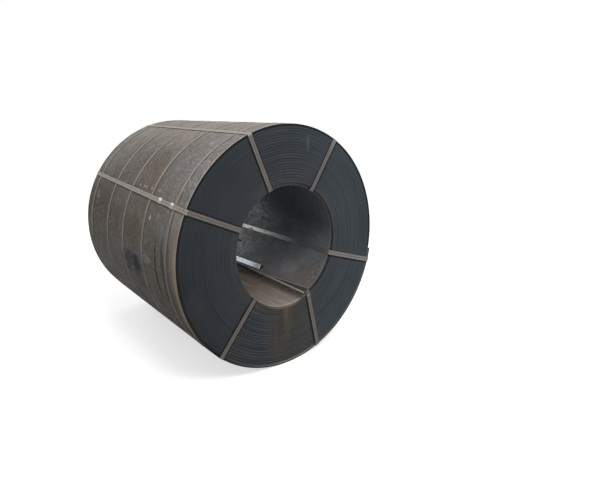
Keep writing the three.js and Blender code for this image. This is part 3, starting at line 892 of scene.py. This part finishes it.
# Each point of the section knows how far through the strip it lies, outwards from its middle.
section = add_node(winding, "GeometryNodeCurvePrimitiveQuadrilateral", {
    "Width": size["Thickness"], "Height": size["Width"]}, mode="RECTANGLE")
rounded = add_node(winding, "GeometryNodeFilletCurve", {
    "Curve": section, "Radius": size["Edge radius"], "Count": 2}, mode="POLY")
position = add_node(winding, "GeometryNodeInputPosition")
spot = add_node(winding, "ShaderNodeSeparateXYZ", {0: position}).outputs
upright = add_node(winding, "GeometryNodeSetCurveNormal", {"Curve": numbered}, mode="Z_UP")
swept = sweep(winding, upright, rounded, "through", spot["X"], size["Thickness"])
count_nodes(winding)

# %% The winding tree: wandering edges and the narrow head
WANDERS_PER_TURN = 2.7

# The strip wandered slowly as it was wound, so neighbouring turns stand differently.
turn = add_node(winding, "GeometryNodeInputNamedAttribute", {"Name": "turn"}, data_type="FLOAT")
wandered = add_node(winding, "ShaderNodeTexNoise", {
    "W": add_node(winding, "ShaderNodeMath", {
        0: turn, 1: WANDERS_PER_TURN, 2: size["Seed"]}, operation="MULTIPLY_ADD"),
    "Scale": 1.0, "Detail": 1.0}, noise_dimensions="1D")
shift = add_node(winding, "ShaderNodeMath", {
    0: add_node(winding, "ShaderNodeMath", {0: wandered, 1: 0.5}, operation="SUBTRACT"),
    1: size["Wander"]}, operation="MULTIPLY")
# The strip's head is drawn in at both edges, and the strip reaches its full width further on.
narrowing = add_node(winding, "ShaderNodeMapRange", {
    "Value": turn, "From Min": FULL_RECESS_TO, "From Max": NO_RECESS_FROM,
    "To Min": 1.0, "To Max": 0.0}, interpolation_type="LINEAR")
side = add_node(winding, "ShaderNodeMath", {0: spot["Z"]}, operation="SIGN")
draw_in = add_node(winding, "ShaderNodeMath", {
    0: add_node(winding, "ShaderNodeMath", {0: narrowing, 1: side}, operation="MULTIPLY"),
    1: size["Recess"]}, operation="MULTIPLY")
shifted = add_node(winding, "ShaderNodeMath", {0: shift, 1: draw_in}, operation="SUBTRACT")
wandering = add_node(winding, "GeometryNodeSetPosition", {
    "Geometry": swept, "Offset": add_node(winding, "ShaderNodeCombineXYZ", {"Z": shifted})})
count_nodes(winding)

# %% The winding tree: three finishes
# The ends, the outside of the last turn, and the rest, which shows in the bore.
END_FACE_FROM = 0.2  # a face belongs to an end where its normal leans this much along the axis
LAST_TURN_FROM = 1.01  # turns before the strip's outer end

facing = add_node(winding, "GeometryNodeInputNormal")
facing_along = add_node(winding, "ShaderNodeSeparateXYZ", {0: facing}).outputs["Z"]
on_end = add_node(winding, "ShaderNodeMath", {
    0: add_node(winding, "ShaderNodeMath", {0: facing_along}, operation="ABSOLUTE"),
    1: END_FACE_FROM}, operation="GREATER_THAN")
outwards = add_node(winding, "ShaderNodeVectorMath", {
    0: facing, 1: position}, operation="DOT_PRODUCT")
faces_out = add_node(winding, "ShaderNodeMath", {
    0: outwards.outputs["Value"], 1: 0.0}, operation="GREATER_THAN")
last_turn = add_node(winding, "ShaderNodeMath", {
    0: turn, 1: add_node(winding, "ShaderNodeMath", {
        0: size["Turns"], 1: LAST_TURN_FROM}, operation="SUBTRACT")}, operation="GREATER_THAN")
on_rim = add_node(winding, "ShaderNodeMath", {0: faces_out, 1: last_turn}, operation="MULTIPLY")
finished = add_node(winding, "GeometryNodeSetMaterial", {
    "Geometry": wandering, "Material": size["Bore"]})
for where, finish in ((on_rim, "Outer wrap"), (on_end, "Strip edges")):
    finished = add_node(winding, "GeometryNodeSetMaterial", {
        "Geometry": finished, "Selection": where, "Material": size[finish]})
laid = add_node(winding, "GeometryNodeTransform", {
    "Geometry": finished, "Rotation": (math.radians(90), 0.0, 0.0), "Translation": AXIS})
fill_inputs(result, {0: add_node(winding, "GeometryNodeRealizeInstances", {"Geometry": laid})})
count_nodes(winding)

# %% Wind the coil
POINTS_PER_TURN = 144.0
WANDER_SEED = 8.0

coil = make_piece("coil_strip", winding, {
    "Turns": TURNS, "Inner radius": winding_radius(0) + STRIP_THICKNESS / 2,
    "Outer radius": winding_radius(TURNS) + STRIP_THICKNESS / 2,
    "Start angle": math.radians(INNER_END_ANGLE + LEVELLING), "Points per turn": POINTS_PER_TURN,
    "Thickness": STRIP_THICKNESS, "Width": STRIP_WIDTH, "Edge radius": EDGE_RADIUS,
    "Wander": TURN_WANDER, "Seed": WANDER_SEED, "Recess": INNER_TURN_RECESS,
    "Outer wrap": wrap_scale, "Strip edges": edge_scale, "Bore": bore_scale})
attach(coil, "root")
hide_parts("coil")

# %% [markdown]
# ## The girth bands
# A girth band is a thin steel band pulled tight round the rim and joined. It follows the spiral,
# and where the strip ends it bridges the step in a straight line. One tree makes all five.

# %% The girth band tree: its line
GIRTH_BAND_THICKNESS = 0.9 * MM
GAP = 0.3 * MM  # between pieces that touch
LOW_RADIUS = winding_radius(TURNS)
BRIDGED = math.acos(LOW_RADIUS / (LOW_RADIUS + TURN_PITCH))  # the angle that a taut band bridges
BAND_POINTS = 288
FULL_CIRCLE = 2 * math.pi

banding, size, result = new_geometry_tree(
    "girth band", ["Place", "Width", "Thickness", "Low radius", "Pitch", "Bridged", "End angle"],
    ["Finish"])
circle = add_node(banding, "GeometryNodeCurvePrimitiveCircle", {
    "Resolution": BAND_POINTS, "Radius": 1.0})
position = add_node(banding, "GeometryNodeInputPosition")
spot = add_node(banding, "ShaderNodeSeparateXYZ", {0: position}).outputs
angle = add_node(banding, "ShaderNodeMath", {0: spot["Y"], 1: spot["X"]}, operation="ARCTAN2")
past_end = add_node(banding, "ShaderNodeMath", {
    0: add_node(banding, "ShaderNodeMath", {0: angle, 1: size["End angle"]}, operation="SUBTRACT"),
    1: FULL_CIRCLE}, operation="FLOORED_MODULO")
climb = add_node(banding, "ShaderNodeMath", {
    0: add_node(banding, "ShaderNodeMath", {0: past_end, 1: FULL_CIRCLE}, operation="DIVIDE"),
    1: size["Pitch"]}, operation="MULTIPLY")
left_to_bridge = add_node(banding, "ShaderNodeMath", {
    0: add_node(banding, "ShaderNodeMath", {
        0: size["Bridged"], 1: past_end}, operation="SUBTRACT"), 1: 0.0}, operation="MAXIMUM")
straight = add_node(banding, "ShaderNodeMath", {
    0: size["Low radius"], 1: add_node(banding, "ShaderNodeMath", {
        0: left_to_bridge}, operation="COSINE")}, operation="DIVIDE")
band_radius = add_node(banding, "ShaderNodeMath", {0: straight, 1: climb}, operation="ADD")
wound = add_node(banding, "GeometryNodeSetPosition", {
    "Geometry": circle, "Position": add_node(banding, "ShaderNodeVectorMath", {
        0: position, "Scale": band_radius}, operation="SCALE")})
count_nodes(banding)

# %% The girth band tree: its section
section = add_node(banding, "GeometryNodeCurvePrimitiveQuadrilateral", {
    "Width": size["Thickness"], "Height": size["Width"]}, mode="RECTANGLE")
upright = add_node(banding, "GeometryNodeSetCurveNormal", {"Curve": wound}, mode="Z_UP")
swept = sweep(banding, upright, section, "across", spot["Y"], size["Width"])
moved = add_node(banding, "ShaderNodeCombineXYZ", {"X": AXIS.x, "Y": size["Place"], "Z": AXIS.z})
laid = add_node(banding, "GeometryNodeTransform", {
    "Geometry": swept, "Rotation": (math.radians(90), 0.0, 0.0), "Translation": moved})
realized = add_node(banding, "GeometryNodeRealizeInstances", {"Geometry": laid})
fill_inputs(result, {0: add_node(banding, "GeometryNodeSetMaterial", {
    "Geometry": realized, "Material": size["Finish"]})})
count_nodes(banding)

# %% Make the five girth bands
for number, share in enumerate(GIRTH_BAND_PLACES, start=1):
    band = make_piece(f"girth_band_{number}_visual", banding, {
        "Place": share * STRIP_WIDTH, "Width": GIRTH_BAND_WIDTH,
        "Thickness": GIRTH_BAND_THICKNESS, "Pitch": TURN_PITCH,
        "Low radius": LOW_RADIUS + GAP + GIRTH_BAND_THICKNESS / 2,
        "Bridged": BRIDGED, "End angle": math.radians(OUTER_END_ANGLE + LEVELLING),
        "Finish": band_steel})
    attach(band, "root")
    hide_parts(f"girth_band_{number}")

# %% [markdown]
# ## The eye straps
# An eye strap goes along the rim, down one end, back through the bore and up the other end, and
# is pulled tight. Its course is drawn first as a line, at each strap's own angles. The course
# bends round the strip's edges, so the corners are rounded before the flat section is swept.

# %% The straps' seats
EYE_STRAP_THICKNESS = 1 * MM
BAND_OUTER_STEP = GAP + GIRTH_BAND_THICKNESS


def place_on_strap(name, radius, y, sideways=0.0):
    """Maps a radius and a place along the coil to a point on one strap."""
    front, back = EYE_STRAPS[name]
    along = min(max(y / COIL_WIDTH + 0.5, 0), 1)
    rim = on_coil(LOW_RADIUS, y, front[0] + (back[0] - front[0]) * along)
    bore = on_coil(BORE_RADIUS, y, front[1] + (back[1] - front[1]) * along)
    point = rim.lerp(bore, (LOW_RADIUS - radius) / (LOW_RADIUS - BORE_RADIUS))
    outwards = Vector((point.x - AXIS.x, 0, point.z - AXIS.z)).normalized()
    return point + Vector((-outwards.z, 0, outwards.x)) * sideways


def strap_bore_seat(name):
    """Radius at which a flat strap lies in the bore, under the tightest spot it covers."""
    front, back = EYE_STRAPS[name]
    half_width = math.degrees(EYE_STRAP_WIDTH / 2 / BORE_RADIUS)
    tightest = bore_radius(min(front[1], back[1]) - half_width)
    return math.sqrt(tightest ** 2 - (EYE_STRAP_WIDTH / 2) ** 2)


def strap_rim_seat(name):
    """Radius of the highest spot on the rim under a strap."""
    front, back = EYE_STRAPS[name]
    half_width = math.degrees(EYE_STRAP_WIDTH / 2 / LOW_RADIUS)
    return rim_radius(max(front[0], back[0]) + half_width)


for name in EYE_STRAPS:
    print(f"{name} lies at {strap_rim_seat(name) / MM:.1f} mm on the rim"
          f" and at {strap_bore_seat(name) / MM:.1f} mm in the bore")

# %% The straps' courses
STRAP_STEPS = 10


def strap_course(name):
    """The closed line that the strap's middle follows, as (radius, y) points."""
    lift = GAP + EYE_STRAP_THICKNESS / 2
    rim, bore = strap_rim_seat(name) + lift, strap_bore_seat(name) - lift
    end = COIL_WIDTH / 2
    front_edge, back_edge = (end - inner_recess(at_bore) for _, at_bore in EYE_STRAPS[name])
    # Where the innermost turn lies back, the strap bends round its edge and then the next one.
    front_corner = front_edge + lift * (front_edge == end)
    back_corner = back_edge + lift * (back_edge == end)
    first, last = GIRTH_BAND_PLACES[0] * STRIP_WIDTH, GIRTH_BAND_PLACES[-1] * STRIP_WIDTH
    steps = [i / STRAP_STEPS for i in range(STRAP_STEPS + 1)]
    course = [(rim, -end - lift)]
    course += [(rim + BAND_OUTER_STEP, first + (last - first) * s) for s in steps]
    course += [(rim, end + lift)]
    if back_edge < end:
        course.append((bore + TURN_PITCH, end + lift))
    course += [(bore, back_corner - (front_corner + back_corner) * s) for s in steps]
    if front_edge < end:
        course.append((bore + TURN_PITCH, -end - lift))
    return course


print("points on each course:", [len(strap_course(name)) for name in EYE_STRAPS])

# %% The strap tree: its line
TAIL_LEAVES_WITHIN = 0.3  # the share of its length over which the free end leaves the strap

strapping, size, result = new_geometry_tree(
    "eye strap", ["Width", "Thickness", "Bend radius", "Tail turn", "Tail length", "Tail slant"],
    ["Finish", "Tail finish"])
course = add_node(strapping, "GeometryNodeMeshToCurve", {"Mesh": size["Geometry"]})
bent = add_node(strapping, "GeometryNodeFilletCurve", {
    "Curve": course, "Radius": size["Bend radius"], "Count": 3, "Limit Radius": True},
    mode="POLY")
# The strap's width always lies along the tangent of the circle round the axis.
position = add_node(strapping, "GeometryNodeInputPosition")
from_axis = add_node(strapping, "ShaderNodeVectorMath", {
    0: position, 1: AXIS}, operation="SUBTRACT")
round_axis = add_node(strapping, "ShaderNodeVectorMath", {
    0: add_node(strapping, "ShaderNodeVectorMath", {
        0: from_axis, 1: (0.0, 1.0, 0.0)}, operation="CROSS_PRODUCT")}, operation="NORMALIZE")
flat = add_node(strapping, "GeometryNodeSetCurveNormal", {
    "Curve": bent, "Normal": round_axis}, mode="FREE")
# The free end has sprung and turned, so one of its edges stands off the wall.
length_here = add_node(strapping, "GeometryNodeSplineParameter").outputs
is_tail = add_node(strapping, "GeometryNodeInputNamedAttribute", {
    "Name": "tail"}, data_type="FLOAT")
turned_by = add_node(strapping, "ShaderNodeMapRange", {
    "Value": length_here["Factor"], "From Min": 0.0, "From Max": TAIL_LEAVES_WITHIN,
    "To Min": 0.0, "To Max": size["Tail turn"]}, interpolation_type="LINEAR")
tilted = add_node(strapping, "GeometryNodeSetCurveTilt", {"Curve": flat, "Tilt": add_node(
    strapping, "ShaderNodeMath", {0: is_tail, 1: turned_by}, operation="MULTIPLY")})
measured = add_node(strapping, "GeometryNodeStoreNamedAttribute", {
    "Geometry": tilted, "Name": "along", "Value": length_here["Length"]},
    data_type="FLOAT", domain="POINT")
count_nodes(strapping)

# %% The strap tree: its section and the slanting tip
section = add_node(strapping, "GeometryNodeCurvePrimitiveQuadrilateral", {
    "Width": size["Width"], "Height": size["Thickness"]}, mode="RECTANGLE")
spot = add_node(strapping, "ShaderNodeSeparateXYZ", {0: position}).outputs
swept = sweep(strapping, measured, section, "across", spot["X"], size["Width"])
share = add_node(strapping, "ShaderNodeMath", {
    0: add_node(strapping, "GeometryNodeInputNamedAttribute", {
        "Name": "along"}, data_type="FLOAT"), 1: size["Tail length"]}, operation="DIVIDE")
aslant = add_node(strapping, "ShaderNodeMath", {
    0: add_node(strapping, "GeometryNodeInputNamedAttribute", {
        "Name": "across"}, data_type="FLOAT"), 1: size["Tail slant"]}, operation="MULTIPLY")
towards_tip = add_node(strapping, "ShaderNodeMath", {
    0: is_tail, 1: share}, operation="MULTIPLY")
cut = add_node(strapping, "GeometryNodeSetPosition", {
    "Geometry": swept, "Offset": add_node(strapping, "ShaderNodeCombineXYZ", {
        "Y": add_node(strapping, "ShaderNodeMath", {
            0: aslant, 1: towards_tip}, operation="MULTIPLY")})})
realized = add_node(strapping, "GeometryNodeRealizeInstances", {"Geometry": cut})
finished = add_node(strapping, "GeometryNodeSetMaterial", {
    "Geometry": realized, "Material": size["Finish"]})
on_tail = add_node(strapping, "ShaderNodeMath", {0: is_tail, 1: 0.5}, operation="GREATER_THAN")
fill_inputs(result, {0: add_node(strapping, "GeometryNodeSetMaterial", {
    "Geometry": finished, "Selection": on_tail, "Material": size["Tail finish"]})})
count_nodes(strapping)

# %% [markdown]
# One strap was left long when it was cut, and its free end lies in the bore. It is part of that
# strap, sprung a little off it, and it has kept the clean metal that lay inside the roll.

# %% The free end's course
TAILED_STRAP = "eye_strap_bottom_right"
STRAP_TAIL_TIP = 546 * MM  # from the front end to the free end
STRAP_TAIL_SPRING = 1.8 * MM  # how far its tip has sprung inwards
STRAP_TAIL_TURN = math.radians(18)
STRAP_TAIL_SLIP = 13 * MM  # to one side, where it leaves the strap
STRAP_TAIL_SWING = 23 * MM  # back to the other side, at its tip
STRAP_TAIL_SLANT = 14 * MM  # its tip is cut off at a slant


def tail_course(name):
    """The open line that the free end's middle follows, as points."""
    tip_y = STRAP_TAIL_TIP - COIL_WIDTH / 2
    root = strap_bore_seat(name) - GAP - EYE_STRAP_THICKNESS
    points = []
    for share in [i / STRAP_STEPS for i in range(STRAP_STEPS + 1)]:
        has_left = min(share / TAIL_LEAVES_WITHIN, 1)
        standing_off = EYE_STRAP_WIDTH / 2 * math.sin(STRAP_TAIL_TURN) * has_left
        radius = root - STRAP_TAIL_SPRING * share ** 2 - standing_off
        sideways = STRAP_TAIL_SWING * share - STRAP_TAIL_SLIP * has_left
        points.append(place_on_strap(
            name, radius, tip_y + STRAP_TAIL_LENGTH * (1 - share), sideways))
    return points


tail = tail_course(TAILED_STRAP)
print(f"the free end's tip lies {(tail[-1].y + COIL_WIDTH / 2) / MM:.0f} mm inside the bore")

# %% Make the six eye straps
def line_mesh(name, loop, tail=()):
    """A mesh of edges alone: one closed line, and an open one marked as the tail."""
    edges = [(i, (i + 1) % len(loop)) for i in range(len(loop))]
    edges += [(len(loop) + i, len(loop) + i + 1) for i in range(len(tail) - 1)]
    mesh = bpy.data.meshes.new(name)
    mesh.from_pydata([*loop, *tail], edges, [])
    is_tail = mesh.attributes.new("tail", "FLOAT", "POINT")
    is_tail.data.foreach_set("value", [0.0] * len(loop) + [1.0] * len(tail))
    return mesh


for name in EYE_STRAPS:
    loop = [place_on_strap(name, radius, y) for radius, y in strap_course(name)]
    line = line_mesh(name, loop, tail if name == TAILED_STRAP else ())
    strap = make_piece(f"{name}_visual", strapping, {
        "Width": EYE_STRAP_WIDTH, "Thickness": EYE_STRAP_THICKNESS,
        "Bend radius": EDGE_RADIUS + GAP + EYE_STRAP_THICKNESS / 2, "Tail turn": STRAP_TAIL_TURN,
        "Tail length": STRAP_TAIL_LENGTH, "Tail slant": STRAP_TAIL_SLANT,
        "Finish": strapping_steel, "Tail finish": bright_strapping}, line)
    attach(strap, "root")
    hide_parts(name)

# %% [markdown]
# ## The seals
# A seal is a short sleeve of zinc-coated sheet, folded round the strap and crimped with a tool
# that notches both of its edges. Its section is drawn once and repeated along the strap, and the
# notches pull it in.

# %% The seals' section
SEAL_WALL = 0.8 * MM
SEAL_LIP = 11 * MM
BEND_STEPS = 8


def seal_section():
    """The sleeve's section: (sideways, height) points of its outside, then of its inside."""
    half = EYE_STRAP_WIDTH / 2 + GAP + SEAL_WALL
    top, bottom = 2 * GAP + EYE_STRAP_THICKNESS + SEAL_WALL, -SEAL_WALL
    bend = (top - bottom) / 2
    angles = [math.radians(90 - 180 * i / BEND_STEPS) for i in range(BEND_STEPS + 1)]

    def half_outline(inset):
        radius = bend - inset
        arc = [(half - bend + radius * math.cos(a), (top + bottom) / 2 + radius * math.sin(a))
               for a in angles]
        return [(0.0, top - inset), *arc, (half - SEAL_LIP, bottom + inset)]

    outside, inside = half_outline(0.0), half_outline(SEAL_WALL)
    left_outside = [(-s, h) for s, h in reversed(outside)][:-1]
    left_inside = [(-s, h) for s, h in inside][1:]
    return [*left_outside, *outside, *reversed(inside), *left_inside]


print(f"the seal's section has {len(seal_section())} points")

# %% Make the two seals
SEAL_LENGTH = 45 * MM
SEAL_PLACES = [160 * MM, 320 * MM]  # from the front end to each seal's middle
SEAL_STEPS = 36
NOTCHES = [-12 * MM, 0.0, 12 * MM]
NOTCH_DEPTH = 1.6 * MM
NOTCH_RISE = 0.2 * MM
NOTCH_LENGTH = 5 * MM
NOTCHED_BORDER = 0.25  # the share of the half width, from the edge, that a notch draws in


def make_seal(name, strap_name, from_front):
    """Repeats the section along the strap and closes both of its ends."""
    section = seal_section()
    base = strap_rim_seat(strap_name) + BAND_OUTER_STEP
    points, faces = [], []
    for step in range(SEAL_STEPS + 1):
        along = SEAL_LENGTH * (step / SEAL_STEPS - 0.5)
        pinch = sum(max(0.0, 1 - abs(along - n) / (NOTCH_LENGTH / 2)) for n in NOTCHES)
        for sideways, height in section:
            from_border = abs(sideways) / (EYE_STRAP_WIDTH / 2) - (1 - NOTCHED_BORDER)
            pull = pinch * max(0.0, from_border) / NOTCHED_BORDER
            points.append(place_on_strap(
                strap_name, base + height + NOTCH_RISE * pull, from_front - COIL_WIDTH / 2 + along,
                sideways - math.copysign(NOTCH_DEPTH * pull, sideways)))
    count = len(section)
    for step in range(SEAL_STEPS):
        for i in range(count):
            a, b = step * count + i, step * count + (i + 1) % count
            faces.append((a, a + count, b + count, b))
    faces.append(tuple(range(count)))
    faces.append(tuple(range((SEAL_STEPS + 1) * count - 1, SEAL_STEPS * count - 1, -1)))
    mesh = bpy.data.meshes.new(name)
    mesh.from_pydata(points, [], faces)
    mesh.materials.append(zinc_coat)
    mesh.validate()
    seal = bpy.data.objects.new(name, mesh)
    bpy.context.scene.collection.objects.link(seal)
    print(f"{name}: {len(points)} points, {len(mesh.polygons)} faces")
    return seal


for number, from_front in enumerate(SEAL_PLACES, start=1):
    seal = make_seal(f"strap_seal_{number}_visual", "eye_strap_left", from_front)
    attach(seal, "root")
    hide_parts(f"strap_seal_{number}")

# %% [markdown]
# ## Floor and light
# The floor and the sky are white to the eye, but they give the coil little light, so its colours
# come out about as they are written. The floor is a wide sheet that keeps the coil's shadow. A
# Light Path node tells what looks at a surface: the camera and reflections see white, and the
# light that lands on the coil is dimmer.

# %% White floor
FLOOR_REACH = 30.0
FLOOR_SEEN = 0.8
FLOOR_LIT = 0.12
FLOOR_GLOW = 0.62


def seen_directly(tree):
    """A mask that is 1 for the camera, reflections and glass, and 0 for light on surfaces."""
    path = add_node(tree, "ShaderNodeLightPath")
    seen = path.outputs["Is Camera Ray"]
    for ray in ("Is Glossy Ray", "Is Transmission Ray"):
        seen = add_node(tree, "ShaderNodeMath", {
            0: seen, 1: path.outputs[ray]}, operation="MAXIMUM")
    return seen


corners = [(-FLOOR_REACH, -FLOOR_REACH, 0), (FLOOR_REACH, -FLOOR_REACH, 0),
           (FLOOR_REACH, FLOOR_REACH, 0), (-FLOOR_REACH, FLOOR_REACH, 0)]
floor_mesh = bpy.data.meshes.new("floor")
floor_mesh.from_pydata(corners, [], [(0, 1, 2, 3)])
floor = bpy.data.objects.new("floor", floor_mesh)
bpy.context.scene.collection.objects.link(floor)

white_floor = new_finish("white_floor")
tree = white_floor.node_tree
tree.nodes.remove(tree.nodes["Principled BSDF"])
seen = seen_directly(tree)
paint = add_node(tree, "ShaderNodeMix", {
    "Factor": seen, "A": (FLOOR_LIT, FLOOR_LIT, FLOOR_LIT, 1.0),
    "B": (FLOOR_SEEN, FLOOR_SEEN, FLOOR_SEEN, 1.0)}, data_type="RGBA")
diffuse = add_node(tree, "ShaderNodeBsdfDiffuse", {"Color": paint})
glow = add_node(tree, "ShaderNodeEmission", {
    "Color": (1.0, 1.0, 1.0, 1.0),
    "Strength": add_node(tree, "ShaderNodeMath", {0: seen, 1: FLOOR_GLOW}, operation="MULTIPLY")})
fill_inputs(tree.nodes["Material Output"], {
    "Surface": add_node(tree, "ShaderNodeAddShader", {0: diffuse, 1: glow})})
floor_mesh.materials.append(white_floor)
print(f"the floor reaches {FLOOR_REACH} m from the coil")

# %% White sky
SKY_LIGHT = 0.5

world = bpy.data.worlds.new("sky")
bpy.context.scene.world = world
world.use_nodes = True
fill_inputs(world.node_tree.nodes["Background"], {
    "Color": (1.0, 1.0, 1.0, 1.0),
    "Strength": graded(seen_directly(world.node_tree), SKY_LIGHT, 1.0)})
print(f"the sky lights the coil at {SKY_LIGHT}")

# %% [markdown]
# Two soft lamps do the rest. A big one high in front stands for an open hall door and shades the
# rim from top to side. A small one behind shines into the bore, where daylight comes through
# from the far end. It is hidden from reflections, or the rim would mirror it.

# %% Two soft lamps
def area_light(name, place, size, power, tint):
    """A square lamp with its size in metres and its power in watts, aimed at the coil."""
    lamp = bpy.data.lights.new(name, "AREA")
    lamp.size = size
    lamp.energy = power
    lamp.color = colour(tint)[:3]
    holder = bpy.data.objects.new(name, lamp)
    holder.location = place
    holder.rotation_mode = "QUATERNION"
    holder.rotation_quaternion = (AXIS - Vector(place)).to_track_quat("-Z", "Y")
    bpy.context.scene.collection.objects.link(holder)
    print(f"{name}: {power} W over {size} m")
    return holder


area_light("front_window", place=(-0.5, -4.2, 5.4), size=3.0, power=250, tint="fffdfa")
back_window = area_light("back_window", place=(-0.3, 5.0, 1.5), size=1.0, power=38, tint="f4f8ff")
back_window.visible_glossy = False

# %% [markdown]
# ## Keep the colours plain
# The Standard view shows each colour as it is.

# %% View
bpy.context.scene.view_settings.view_transform = "Standard"
